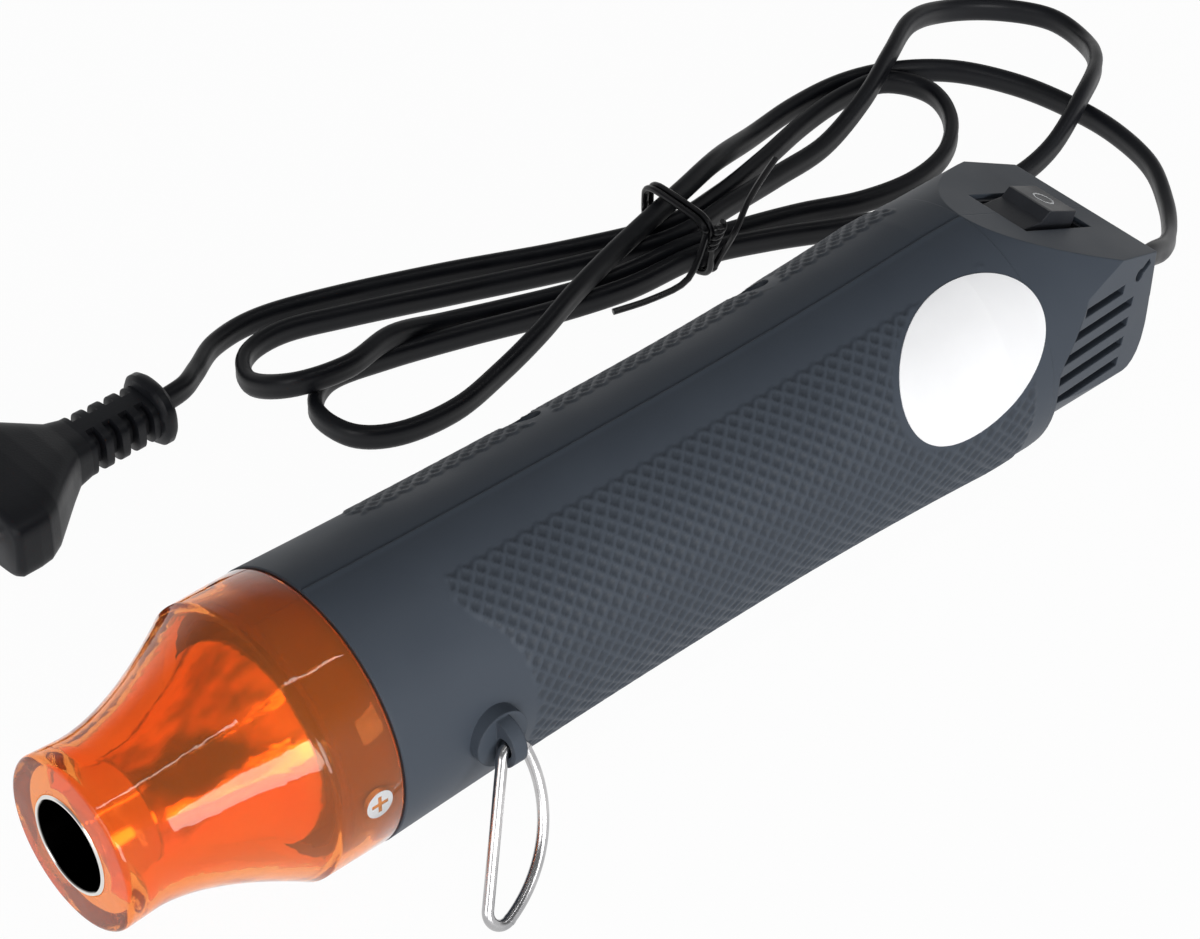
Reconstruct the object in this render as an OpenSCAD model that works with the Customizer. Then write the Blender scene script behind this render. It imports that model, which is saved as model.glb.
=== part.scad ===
// Embossing heat tool: a turned handle in two halves, a clear nozzle shroud over the outlet
// tube, a heater wound on crossed mica plates, a fan motor, a rocker switch, a hanging ring
// and a tied mains cord with its plug. X runs from the nozzle tip to the tail, Z is up.

/* [Handle] */
// Length from the nozzle tip to the rear wall
tool_len = 228; // [224:0.5:232]
// Outer diameter at the collar and at the rear of the grip
body_d = 50; // [49:0.5:52]
// Outer diameter at the waist of the grip
waist_d = 46.8; // [46:0.2:48]
// Station of the waist
waist_x = 131; // [120:1:142]
// Station where the round grip ends in its shoulder
grip_end = 197; // [195:0.5:199]
// Wall of the handle shells
shell_wall = 2.4; // [2:0.1:2.8]
// Diameter of the lower tail behind the shoulder
tail_d = 44.6; // [43.6:0.2:46]
// Height at which the side recess runs out, over the axis
recess_top = 15.2; // [14.6:0.1:15.8]
// Half width of the tail at the front of its side flats
flat_half_w = 22.6; // [21.8:0.1:23]
// Inward slope of the side flats, degrees
flat_slope = 9.6; // [8:0.1:11]
// Lean of the side flats towards the bottom, degrees
flat_lean = 2.9; // [2:0.1:4]
// Slope of the switch panel, degrees
panel_slope = 24; // [22:0.5:26]

/* [Vents] */
// Number of vent slots on each side
vent_count = 5; // [3:1:5]
// Width of a vent slot
vent_w = 2; // [1.6:0.1:2.4]
// Distance between vent slots
vent_pitch = 4.3; // [4:0.1:4.5]
// Fall of the vent slots towards the tail, degrees
vent_fall = 10; // [8:1:12]
// Length of the long vent slots
vent_len = 23; // [20:0.5:23.5]
// Length of the first vent slot
vent_first_len = 12.5; // [9:0.5:13]

/* [Nozzle] */
// Length of the clear shroud
shroud_len = 47.4; // [46.4:0.2:49]
// Wall of the clear shroud
shroud_wall = 2.2; // [1.8:0.1:2.6]
// Radius of the shroud's neck
neck_r = 15.3; // [14.6:0.1:16]
// Station where the flare reaches the full diameter
flare_end = 34.5; // [33:0.5:36]
// Bore of the steel outlet tube
outlet_d = 16.2; // [14.6:0.2:16.6]
// Wall of the steel outlet tube
outlet_wall = 0.8; // [0.5:0.1:1]
// Length of the steel outlet tube
outlet_len = 17; // [14:0.5:19]
// Air gap round the heat shield inside the spigot
shield_gap = 2.55; // [2.3:0.05:3]
// Sheet thickness of the heat shield
shield_t = 0.6; // [0.4:0.1:0.8]
// Station of the heat shield's rear end
shield_end = 62; // [58:1:66]

/* [Heater] */
// Station of the front of the mica sleeve
sleeve_x = 37; // [36:0.5:39]
// Length of the mica sleeve
sleeve_len = 45; // [43:0.5:46]
// Sheet thickness of the mica parts
mica_t = 0.8; // [0.6:0.1:1]
// Turns of the heater winding
coil_turns = 9; // [6:1:10]
// Rise of one heater turn
coil_pitch = 3.4; // [2.6:0.1:3.6]
// Radius of the heater winding
coil_r = 13; // [12:0.1:14]
// Diameter of the resistance wire
coil_wire_d = 0.9; // [0.6:0.1:1]
// Diameter of the thermal cutout
cutout_d = 4; // [3:0.2:4.4]
// Length of the thermal cutout
cutout_len = 10; // [8:0.5:12]

/* [Fan and motor] */
// Diameter of the motor can
motor_d = 24.4; // [23.4:0.2:25]
// Length of the motor can
motor_len = 30.8; // [28:0.2:31]
// Station of the motor can's front face
motor_x = 98; // [97:0.5:100]
// Diameter of the motor shaft
shaft_d = 2; // [1.8:0.1:2.4]
// Diameter of the fan
fan_d = 37; // [34:0.5:38]
// Axial length of the fan hub
fan_hub_len = 8; // [7:0.5:9]
// Diameter of the fan hub
fan_hub_d = 11; // [9:0.5:13]
// Number of fan blades
fan_blades = 7; // [5:1:9]
// Blade angle, degrees
blade_angle = 38; // [30:1:42]
// Thickness of the circuit board
board_t = 1.6; // [1.2:0.1:2]
// Diameter of the circuit board
board_d = 23; // [21:0.5:25]

/* [Switch] */
// Station of the switch centre on the panel
switch_x = 213; // [212:0.5:214]
// Length of the switch opening along the slope
switch_l = 19; // [18:0.2:19.4]
// Width of the switch opening
switch_w = 14.2; // [13:0.2:14.6]
// Depth of the switch housing under the panel
switch_depth = 13; // [12:0.5:14]
// Wall of the switch housing
switch_wall = 0.9; // [0.8:0.1:1.2]
// Tilt of the rocker in its resting position, degrees
rocker_tilt = 10; // [8:0.5:11]
// Slope of the rear half of the rocker from its ridge, degrees
rocker_slope = 12; // [9:1:15]

/* [Ring] */
// Station of the ring lug
lug_x = 66; // [62:0.5:70]
// Height of the ring lug over the axis
lug_z = 0; // [-1:0.1:2]
// Thickness of the lug's eye
lug_t = 2.6; // [2.2:0.1:2.8]
// Diameter of the lug's hole
lug_hole_d = 3.6; // [3.4:0.1:3.8]
// Distance of the lug's hole from the handle's surface
lug_stand = 3.4; // [3.2:0.1:4]
// Diameter of the ring wire
ring_wire_d = 2; // [1.8:0.1:2.1]
// Straight length of the ring's bar
ring_bar = 24.5; // [22:0.5:27]
// Corner radius of the ring, to the wire's centre
ring_corner_r = 2.5; // [2.4:0.1:3.2]
// Depth of the D, to the wire's centre
ring_depth = 9.4; // [8.8:0.1:10.5]
// Lean of the ring's bar towards the nozzle, degrees
ring_lean = 28; // [22:0.5:31]

/* [Cord and plug] */
// Width of the flat cord
cord_w = 5; // [4.6:0.1:5]
// Thickness of the flat cord
cord_t = 3.2; // [2.8:0.1:3.2]
// Drop of the cord's outlet under the handle's axis
outlet_drop = 11; // [10:0.5:12]
// Length of the strain relief outside the rear wall
relief_len = 14; // [14:1:15]
// Diameter of the strain relief at the rear wall
relief_d = 9.2; // [8.6:0.1:10]
// Width of the plug at its pin face
plug_w = 35.3; // [34:0.1:36]
// Thickness of the plug
plug_t = 13.7; // [13:0.1:14]
// Length of the plug from its flange to its pin face
plug_len = 43.5; // [42:0.5:45]
// Diameter of a plug pin
pin_d = 4; // [4:0.1:4.2]
// Length of a plug pin
pin_len = 19; // [18:0.5:20]
// Distance between the plug pins
pin_pitch = 18.6; // [17:0.1:19]
// Diameter of the tie wire
tie_d = 1.3; // [1:0.1:1.4]

/* [Fasteners] */
// Shank diameter of the self-tapping screws
screw_d = 2.6; // [2.4:0.1:3]
// Head diameter of the self-tapping screws
head_d = 5.2; // [4.8:0.1:5.6]
// Head height of the self-tapping screws
head_h = 1.5; // [1.2:0.1:1.8]
// Distance of the shroud's two screws from its rear edge
shroud_screw_in = 5.4; // [5:0.1:5.8]
// Stations of the two pairs of handle screws
post_front_x = 107; // [105:0.5:112]
post_rear_x = 160; // [150:1:168]
// Height of the handle screws over the axis
post_z = 17.6; // [17.2:0.1:18]

/* [Hidden] */
$fn = 64;

body_r = body_d / 2;
slip = 0.15;
run = 0.05;
seam_gap = 0.3;
far = 200;
screw_r = screw_d / 2;
head_r = head_d / 2;

spigot_len = 9.9;
spigot_x = shroud_len - spigot_len;
shroud_screw_x = shroud_len - shroud_screw_in;
spigot_r = body_r - shroud_wall - slip;
tail_r = tail_d / 2;
tail_round = 6;
rear_wall_x = tool_len - shell_wall;
recess_x = grip_end - 1.2;
recess_bend = 1.5;
vent_step = 2;
rocker_side = 1.2;
lip_r = 1;
lip_x = 0.3;
lip_proud = 0.3;
panel_x = grip_end - 2;
panel_z = body_r - 0.1;
shaft_r = shaft_d / 2;
fan_x = motor_x - fan_hub_len - 4;
mount_t = 1.6;
mount_len = motor_len - 4;
board_x = motor_x + motor_len + 2.7;
board_face = board_x + board_t;
outlet_r = outlet_d / 2;
tube_r = outlet_r + outlet_wall;
shield_r = spigot_r - shell_wall - shield_gap;
sleeve_r = shield_r - shield_t - slip;
plate_tab = sleeve_r - mica_t - slip;
plate_core = coil_r - coil_wire_d / 2 - 0.25;
plate_inset = 1.5;
cutout_back = 22;
tab_len = 4;
lug_reach = body_r + lug_stand;
lug_r = 4.6;
lug_centre = lug_reach - 1.8;
lug_foot_d = 10.4;
lug_foot_h = 1.6;
ring_r = ring_wire_d / 2;
weld_h = 0.05;
ring_drop = 2 * ring_corner_r + ring_bar * cos(ring_lean);
ring_rest = acos(min(1, (body_r + lug_z - ring_r - 0.05) / ring_drop));
ring_half = ring_bar / 2;
ring_rise = ring_depth - 2 * ring_corner_r;
ring_arc_d = (ring_rise * ring_rise + ring_half * ring_half) / (2 * ring_rise);
ring_arc_r = ring_arc_d + ring_corner_r;
ring_arc_a = asin(ring_half / ring_arc_d);
ring_reach = lug_reach + ring_drop * sin(ring_rest) + ring_r;
axis_y = (ring_reach - body_r) / 2;
pivot_depth = 3.2;
rocker_front = 0.3;
rocker_foot = 0.9;
rocker_back = 0.6;
rocker_l = switch_l - 2 * switch_wall - 1.6;
rocker_w = switch_w - 2 * switch_wall - 2 * rocker_side;
ridge_h = 2.6;
label_x = 178.3;
label_turn = 55.5;
label_lean = 16;
label_half_l = 17.6;
label_half_w = 12.6;
screw_seat = 4;
screw_reach = 11.5;
screw_tip_gap = 1.3;
outlet_z = -outlet_drop;
relief_tip = tool_len + relief_len;
clamp_x = 206;
clamp_w = 7;
clamp_h = 17;
clamp_t = 2.4;
clamp_screw_z = 5.6;
plug_z = plug_t / 2;
pin_root = 8;
pin_step = 0.4;
plug_y = 95.5;
plug_x = 88;

// The cord's middle line: station, distance from the handle's axis, height over the floor
cord_path = [[242, 0, body_r - outlet_drop], [250, 2, 12], [258.5, 5.5, 7.5], [266.5, 11, 3.8],
    [274, 18.5, 2.6], [281, 29, 2.6], [284, 41, 2.6], [284, 52.5, 2.6], [281.5, 65.5, 2.6],
    [275.5, 77.5, 2.6], [266, 85.5, 2.6], [255, 89.5, 2.6], [242, 90, 2.6], [227.5, 87, 4],
    [213, 81.5, 8.5], [200.5, 77.5, 9.6], [188.5, 74.5, 9.6], [176, 71.5, 9], [164.5, 68.5, 8],
    [154.5, 66, 6], [143.5, 64.5, 3.4], [131, 62.5, 2.6], [119, 64, 2.6], [112, 69.5, 2.6],
    [111.5, 79, 2.6], [119, 84.5, 2.6], [131, 82.5, 2.6], [146, 78, 2.6], [162, 72.5, 2.6],
    [178, 67.5, 3.4], [194, 65.5, 4.1], [208.5, 61, 3.2], [223.5, 54, 2.6], [239, 47, 2.6],
    [255, 44, 2.6], [269, 45, 4], [282.5, 49.5, 7.9], [294, 56.5, 6.5], [302, 66.5, 3],
    [303.5, 77.5, 2.6], [298, 87, 2.6], [287.5, 92, 4.5], [275.5, 90.5, 7.9], [264, 85, 8],
    [251.5, 79.5, 6], [238, 76.5, 2.8], [224.5, 75.5, 2.6], [209.5, 74, 3.4], [194, 72.5, 4.1],
    [176.5, 79.5, 2.6], [154.5, 88.5, 2.6], [134, 97, 2.6], [121, 101.5, 2.6], [111.5, 100, 2.6],
    [107, 92.5, 3.4], [110, 83.5, 7], [120, 80, 8], [132, 82.5, 7], [144.5, 82.5, 3.4],
    [156, 79, 2.6], [170, 74, 2.6], [182, 71, 3.2], [194, 69, 4.1], [207, 67, 3], [219, 63.5, 2.6],
    [230.5, 58.5, 2.6], [242.5, 56.5, 2.6], [254, 59, 2.6], [263, 66.5, 2.6], [266.5, 76, 2.6],
    [262, 84.5, 2.6], [251.5, 86, 2.6], [239.5, 84.5, 2.6], [225, 81, 2.6], [209.5, 77.5, 3.4],
    [194.5, 76.5, 4.1], [176.5, 85, 2.6], [155, 95, 2.6], [134, 103.5, 2.6], [120, 107.5, 2.6],
    [109, 106, 3.4], [100.5, 100.5, 5], [94.5, 96.5, 6.6], [88, 95.5, 6.9]];
cord_sides = 8;
cord_step = 1;

// The tie's middle line: two turns round the bundle and its two free ends
tie_x = 194;
tie_y = 71.1;
tie_half_w = 9;
tie_h = 14.6;
tie_turns = 2;
tie_lead = [[170, 63.2, 4.4], [178, 60.6, 5], [186, 59.8, 6]];
tie_tail = [[199.5, 61.2, 10], [204, 63, 13], [210.5, 65.8, 14.2], [216, 68, 14.8]];

// Outer radius of the grip, narrow at its waist and full at both ends
function grip_r(x) = let (span = x < waist_x ? waist_x - shroud_len : grip_end - 12 - waist_x,
        t = min(1, abs(x - waist_x) / span))
    waist_d / 2 + (body_r - waist_d / 2) * t * t;

// Points of an arc about [cx, cy], from angle a0 to a1
function arc(cx, cy, r, a0, a1, n) =
    [for (i = [0:n]) let (a = a0 + (a1 - a0) * i / n) [cx + r * cos(a), cy + r * sin(a)]];

// A point between p1 and p2 on the smooth curve through p0 to p3
function blend(p0, p1, p2, p3, t) = p1 + t * ((p2 - p0) / 2
    + t * ((2 * p0 - 5 * p1 + 4 * p2 - p3) / 2 + t * (3 * p1 - p0 - 3 * p2 + p3) / 2));
function smooth(pts, n) = let (last = len(pts) - 1) concat([for (i = [0:last - 1], k = [0:n - 1])
    blend(pts[max(0, i - 1)], pts[i], pts[i + 1], pts[min(last, i + 2)], k / n)], [pts[last]]);
function unit(v) = v / norm(v);
function way(pts, i) = unit(pts[min(len(pts) - 1, i + 1)] - pts[max(0, i - 1)]);
function side_way(d) = unit(cross(d, [0, 0, 1]));

// A tube of an oval section, width w upright and thickness t across, along pts
module swept(pts, w, t, sides, start = undef, finish = undef) {
    rings = [for (i = [0:len(pts) - 1])
        let (d = i == 0 && start != undef ? start
                : i == len(pts) - 1 && finish != undef ? finish : way(pts, i),
            s = side_way(d), u = cross(s, d))
        for (k = [0:sides - 1]) let (a = 360 * (k + 0.5) / sides)
            pts[i] + s * (t / 2 * cos(a)) + u * (w / 2 * sin(a))];
    n = len(pts);
    walls = [for (i = [0:n - 2], k = [0:sides - 1])
        let (a = i * sides + k, b = i * sides + (k + 1) % sides)
        each [[a, a + sides, b], [b, a + sides, b + sides]]];
    polyhedron(rings, concat(walls, [[for (k = [0:sides - 1]) k]],
        [[for (k = [sides - 1:-1:0]) (n - 1) * sides + k]]));
}

// Places what is drawn along the handle's axis in the part's own frame
module placed() translate([-tool_len / 2, axis_y, body_r]) children();

// The same with heights counted from the floor
module on_floor() translate([-tool_len / 2, axis_y, 0]) children();

// Turns a profile of [radius, station] points about the handle's axis
module turned(points) rotate([0, 90, 0]) rotate_extrude($fn = 96) polygon(points);

// A round bar along X
module bar_x(x, r, l) translate([x, 0, 0]) rotate([0, 90, 0]) cylinder(r = r, h = l);

// A round bar along Y, from y to y + l
module bar_y(y, r, l) translate([0, y, 0]) rotate([-90, 0, 0]) cylinder(r = r, h = l);

// A flat cord's section, upright
module flex_section(extra) {
    h = cord_w / 2 - cord_t / 2;
    for (s = [-1, 1]) translate([0, s * h]) circle(r = cord_t / 2 + extra, $fn = 24);
    square([cord_t + 2 * extra, 2 * h], center = true);
}

module flex_bar(x0, x1, extra) translate([x0, 0, outlet_z])
    rotate([90, 0, 90]) linear_extrude(x1 - x0) flex_section(extra);

// The slanted plane of the switch panel, sunk by inset; cut keeps what lies under it
module over_panel(inset) translate([panel_x, 0, panel_z]) rotate([0, panel_slope, 0])
    translate([-far / 2, -far / 2, -inset]) cube([far, far, far]);

module on_panel() translate([switch_x, 0, panel_z - (switch_x - panel_x) * tan(panel_slope)])
    rotate([0, panel_slope, 0]) children();

// What lies outside one side flat, moved inwards by inset
module beyond_flat(inset) for (s = [0, 1]) mirror([0, s, 0])
    translate([grip_end - 2, -flat_half_w, 0]) rotate([flat_lean, 0, flat_slope])
        translate([-far / 2, inset - far, -far / 2]) cube([far, far, far]);

// The block behind the shoulder that is cut from the grip, grown by grow. Its front edge
// leans back above the bend, up to where the flats meet the barrel.
module recess_block(grow) {
    rise = recess_top - recess_bend;
    lean = rise * 0.93;
    translate([0, far / 2, 0]) rotate([90, 0, 0]) linear_extrude(far) offset(r = grow)
        translate([recess_x, recess_bend]) polygon([[0, -far], [0, -1], [0.4, 1.4], [1.5, 3.2],
            [lean - 2.2, rise - 2], [lean - 0.4, rise - 0.5], [lean + 1.6, rise],
            [lean + 1.6, far], [far * 2, far], [far * 2, -far]]);
}

// The round barrel from the collar to the tail's end
module barrel(inset) {
    x1 = tool_len - inset;
    end_r = (tail_round - inset) / 2;
    turned(concat([[0, inset == 0 ? shroud_len : spigot_x - 1]],
        inset == 0 ? [] : [[spigot_r - inset, spigot_x - 1],
            [spigot_r - inset, shroud_len + inset]],
        [for (x = [shroud_len + inset:6:grip_end]) [grip_r(x) - inset, x]],
        arc(body_r - inset - end_r, x1 - end_r, end_r, 0, 90, 5), [[0, x1]]));
}

// The handle's outer shape, or the cavity in it when inset is the wall. The tail is thinner
// below the axis, and above it the barrel goes on between the two flats.
module handle_form(inset) {
    x1 = tool_len - inset;
    round_r = tail_round - inset;
    difference() {
        union() {
            difference() {
                barrel(inset);
                recess_block(inset);
            }
            difference() {
                union() {
                    turned(concat([[0, recess_x - 6], [tail_r - inset, recess_x - 6]],
                        arc(tail_r - inset - round_r, x1 - round_r, round_r, 0, 90, 6),
                        [[0, x1]]));
                    intersection() {
                        barrel(inset);
                        translate([recess_x - 6, -far / 2, 0]) cube(far);
                    }
                }
                beyond_flat(inset);
            }
        }
        over_panel(inset);
    }
}

// Five slots on each side flat, the first one short
module vent_slots() {
    for (i = [0:vent_count - 1]) {
        start = vent_step * abs(i - 3);
        l = i == 0 ? vent_first_len : vent_len - start;
        drop = (i - 2) * vent_pitch;
        translate([grip_end + 1.4, 0, 2.4]) rotate([0, vent_fall, 0])
            translate([start, -far / 2, -drop - vent_w / 2]) cube([l, far, vent_w]);
    }
}

// A small slanted drop-shaped hole near the top rear corner of the left flat
module drop_hole() translate([tool_len - 5, -far / 4, 7.9]) rotate([0, -24, 0]) {
    bar_y(0, 1.3, far / 4 - 4);
    translate([0, 0, -0.8]) cube([3.4, far / 4 - 4, 1.6]);
}

// Where the handle's screws sit
module at_posts() for (x = [post_front_x, post_rear_x], s = [-1, 1])
    translate([x, 0, s * post_z]) children();

// Solid fittings that stand inside the shells
module shell_fittings() {
    at_posts() bar_y(-far / 2, 2.9, far);
    // saddles under the motor mount's ribs
    for (x = [motor_x + 1, motor_x + mount_len - 3]) difference() {
        bar_x(x, body_r, 2);
        bar_x(x - 1, motor_d / 2 + slip + mount_t + 4.4, 4);
    }
    // ribs before and behind the heat shield's flange
    for (x = [shroud_len + 1.5, shroud_len + 5]) difference() {
        bar_x(x, body_r - 1, 1.5);
        bar_x(x - 1, shield_r + slip, 4);
    }
    // block behind the cord, for the clamp
    translate([clamp_x, -far / 2, outlet_z - clamp_h / 2])
        cube([clamp_w, far / 2 - cord_t / 2, clamp_h]);
}

module handle_body() difference() {
    union() {
        difference() {
            union() {
                handle_form(0);
                turned([[0, spigot_x], [spigot_r, spigot_x], [spigot_r, shroud_len + 1],
                    [0, shroud_len + 1]]);
                lug();
            }
            handle_form(shell_wall);
        }
        intersection() {
            handle_form(shell_wall - 1);
            shell_fittings();
        }
    }
    vent_slots();
    // pilot holes for the shroud's screws
    translate([shroud_screw_x, 0, 0]) bar_y(-far / 2, screw_r + run, far);
    // hole for the strain relief
    translate([0, 0, outlet_z]) bar_x(rear_wall_x - 1, relief_d / 2 - 1 + slip, shell_wall + 2);
    // switch opening
    on_panel() translate([-switch_l / 2, -switch_w / 2, -switch_depth])
        cube([switch_l, switch_w, far]);
    // lug hole along X
    translate([lug_x, -lug_reach, lug_z]) bar_x(-lug_foot_d, lug_hole_d / 2, 2 * lug_foot_d);
}

// The eye that carries the ring, on a low round foot
module lug() translate([lug_x, 0, lug_z]) {
    bar_y(-body_r - lug_foot_h, lug_foot_d / 2, lug_foot_h + 3);
    translate([-lug_t / 2, -lug_centre, 0]) rotate([0, 90, 0]) cylinder(r = lug_r, h = lug_t);
    translate([-lug_t / 2, -lug_centre, -lug_r]) cube([lug_t, 4, 2 * lug_r]);
}

module left_half() translate([-far, -far, -far]) cube([3 * far, far, 2 * far]);

module left_shell() color("#3b3f46") placed() difference() {
    intersection() {
        handle_body();
        left_half();
    }
    drop_hole();
    at_posts() bar_y(-8, screw_r + run, 9);
    for (s = [-1, 1]) translate([clamp_x + clamp_w / 2, 0, outlet_z + s * clamp_screw_z])
        bar_y(-cord_t / 2 - 8, screw_r + run, 9);
}

module right_shell() color("#3b3f46") placed() difference() {
    handle_body();
    left_half();
    at_posts() {
        bar_y(-1, screw_r + slip, far);
        bar_y(screw_seat, head_r + slip, far);
    }
}

module screw_y(reach) {
    bar_y(-reach, screw_r, reach + 0.5);
    difference() {
        bar_y(0, head_r, head_h);
        for (a = [0, 90]) rotate([0, a, 0]) translate([-head_r * 0.62, head_h - 0.7, -0.35])
            cube([head_r * 1.24, 1, 0.7]);
    }
}

module housing_screws() color("#8b8d90") placed() at_posts()
    translate([0, screw_seat, 0]) screw_y(screw_reach);

function flare_r(x) = let (x0 = 8, t = max(0, min(1, (x - x0) / (flare_end - x0))))
    neck_r + (body_r - neck_r) * pow(t, 1.75) * (1.12 - 0.12 * t);

// A lip, a waisted neck, a flare and a straight collar in clear plastic
module nozzle_shroud() color("#f2571f", 0.55) placed() {
    x1 = shroud_len - seam_gap;
    face_r = neck_r + lip_proud;
    steps = [8:3:flare_end - 1];
    difference() {
        turned(concat([[tube_r + slip, lip_x]],
            arc(face_r - lip_r, lip_x + lip_r, lip_r, -90, 0, 5),
            [for (x = steps) [flare_r(x), x]], [[body_r, flare_end], [body_r, x1]],
            [[body_r - shroud_wall, x1], [body_r - shroud_wall, flare_end + 1]],
            [for (i = [len([for (x = steps) x]) - 1:-1:0])
                let (x = 8 + 3 * i) [flare_r(x) - shroud_wall, x + 0.6]],
            [[neck_r - shroud_wall, 5], [tube_r + slip, 3]]));
        translate([shroud_screw_x, 0, 0]) {
            bar_y(-far / 2, screw_r + slip, far);
            for (s = [0, 1]) mirror([0, s, 0]) bar_y(body_r - head_h, head_r + slip, 9);
        }
    }
}

module shroud_screws() color("#b9bbbd") placed() for (s = [0, 1]) mirror([0, s, 0])
    translate([shroud_screw_x, body_r - head_h, 0])
        screw_y(body_r - head_h - shield_r - screw_tip_gap);

module nozzle_tube() color("#c9c6c0") placed() difference() {
    bar_x(0, tube_r, outlet_len);
    bar_x(-1, outlet_r, outlet_len + 2);
}

// A spun sheet cone from the outlet tube to the heater, with a flange held by the shells
module heat_shield() color("#c8a77a") placed() {
    ri = shield_r - shield_t;
    x0 = outlet_len - 6;
    fl = shroud_len + 3 + slip;
    flange_r = spigot_r - shell_wall - slip;
    turned([[tube_r + run, x0], [tube_r + run + shield_t, x0],
        [tube_r + shield_t + 0.4, outlet_len], [shield_r * 0.8, outlet_len + 11],
        [shield_r, sleeve_x - 3], [shield_r, fl], [flange_r, fl],
        [flange_r, fl + 1.7], [shield_r, fl + 1.7], [shield_r, shield_end],
        [ri, shield_end], [ri, sleeve_x - 2.6], [shield_r * 0.8 - shield_t, outlet_len + 11.4],
        [tube_r + run, outlet_len + 1]]);
}

module mica_sleeve() color("#d8cfa8") placed() difference() {
    bar_x(sleeve_x, sleeve_r, sleeve_len);
    bar_x(sleeve_x - 1, sleeve_r - mica_t, sleeve_len + 2);
}

module mica_plate() {
    x0 = sleeve_x + plate_inset;
    x1 = sleeve_x + sleeve_len - plate_inset;
    rotate([90, 0, 0]) linear_extrude(mica_t, center = true)
        polygon([for (s = [-1, 1]) each [for (p = [[x0, plate_tab], [x0 + tab_len, plate_tab],
            [x0 + tab_len, plate_core], [x1 - tab_len, plate_core], [x1 - tab_len, plate_tab],
            [x1, plate_tab]]) s < 0 ? [p[0], -p[1]] : [x0 + x1 - p[0], p[1]]]]);
}

module mica_cross() color("#cfc491") placed() {
    mica_plate();
    rotate([90, 0, 0]) mica_plate();
}

// One wire wound in even turns; the turns stay apart by the pitch less the wire
module heater_coil() color("#9a8f86") placed() {
    x0 = sleeve_x + sleeve_len / 2 - coil_turns * coil_pitch / 2;
    n = 24;
    turns = [for (i = [0:coil_turns * n]) let (a = 360 * i / n)
        [x0 + coil_pitch * i / n, coil_r * sin(a), coil_r * cos(a)]];
    echo(least_coil_gap = coil_pitch - coil_wire_d);
    sides = 6;
    rings = [for (i = [0:len(turns) - 1]) let (a = 360 * i / n, out = [0, sin(a), cos(a)])
        for (k = [0:sides - 1]) let (b = 60 * k)
            turns[i] + coil_wire_d / 2 * (cos(b) * out + [sin(b), 0, 0])];
    last = (len(turns) - 1) * sides;
    walls = [for (i = [0:len(turns) - 2], k = [0:sides - 1])
        let (a = i * sides + k, b = i * sides + (k + 1) % sides)
        each [[a, b, a + sides], [b, b + sides, a + sides]]];
    polyhedron(rings, concat(walls, [[for (k = [sides - 1:-1:0]) k]],
        [[for (k = [0:sides - 1]) last + k]]));
}

module thermal_cutout() color("#d9d4c4") placed() {
    off = mica_t / 2 + cutout_d / 2 + run;
    translate([0, off, off]) {
        bar_x(sleeve_x + sleeve_len - cutout_back, cutout_d / 2, cutout_len);
        bar_x(sleeve_x + sleeve_len - cutout_back - 3, 0.5, cutout_len + 6);
    }
}

module motor_shaft() color("#b5b7ba") placed()
    bar_x(fan_x - 1, shaft_r, motor_x + motor_len + 1 - fan_x + 1);

module fan_impeller() color("#2f3136") placed() difference() {
    union() {
        bar_x(fan_x, fan_hub_d / 2, fan_hub_len);
        intersection() {
            bar_x(fan_x, fan_d / 2, fan_hub_len);
            for (i = [0:fan_blades - 1]) rotate([360 * i / fan_blades, 0, 0])
                translate([fan_x + fan_hub_len / 2, 0, 0]) rotate([0, 0, blade_angle])
                    translate([-fan_hub_len, -0.6, fan_hub_d / 2 - 1])
                        cube([2 * fan_hub_len, 1.2, fan_d / 2]);
        }
    }
    bar_x(fan_x - 1, shaft_r + 0.02, fan_hub_len + 2);
}

// A steel can with a bearing boss at each end and two solder tabs
module fan_motor() color("#a9adb3") placed() difference() {
    union() {
        bar_x(motor_x, motor_d / 2, motor_len);
        bar_x(motor_x - 2, 3, 2.5);
        bar_x(motor_x + motor_len - 0.5, 3, 1.7);
        for (s = [-1, 1]) translate([motor_x + motor_len - 0.5, s * 8 - 1, -0.3])
            cube([board_x - motor_x - motor_len + 0.5, 2, 0.6]);
    }
    bar_x(motor_x - 5, shaft_r + run, motor_len + 10);
}

// A sleeve round the motor with four ribs that stand in the shells
module motor_mount() color("#4a4d52") placed() {
    r = motor_d / 2 + slip;
    difference() {
        union() {
            bar_x(motor_x + 0.5, r + mount_t, mount_len);
            intersection() {
                for (a = [45, 135]) rotate([a, 0, 0])
                    translate([motor_x + 0.5, -1, -far / 2]) cube([mount_len, 2, far]);
                bar_x(motor_x + 0.5, r + mount_t + 4.2, mount_len);
            }
        }
        bar_x(motor_x - 1, r, motor_len + 5);
    }
}

module circuit_board() color("#4b6b3c") placed() bar_x(board_x, board_d / 2, board_t);

module rectifier_diodes() color("#232427") placed() for (i = [0:3])
    translate([board_face + 1.4, -9 + (i % 2) * 12, i < 2 ? -6 : 8]) bar_y(0, 1.35, 5.2);

module capacitor() color("#b98a2e") placed()
    translate([board_face + 0.1, -6, -2.6]) cube([8, 12, 2.6]);

module lead_wires() color("#b8442e") placed() for (s = [-1, 1])
    translate([0, s * 3.5, 2.2]) bar_x(board_face + 0.1, 0.8, switch_x - 7.8 - board_face);

module switch_housing() color("#26282c") placed() on_panel() {
    l = switch_l - 2 * slip;
    w = switch_w - 2 * slip;
    d = switch_depth - slip;
    difference() {
        translate([-l / 2, -w / 2, -d]) cube([l, w, d - 0.8]);
        translate([-l / 2 + switch_wall, -w / 2 + switch_wall, -d + 3.6])
            cube([l - 2 * switch_wall, w - 2 * switch_wall, far]);
        translate([0, 0, -pivot_depth]) bar_y(-far / 2, 1 + run, far);
    }
}

module switch_terminals() color("#c9a25a") placed() on_panel() for (s = [-1, 1])
    translate([-0.4, s * 3.5 - 2, -switch_depth - 4.8]) cube([0.8, 4, 4.9]);

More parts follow.
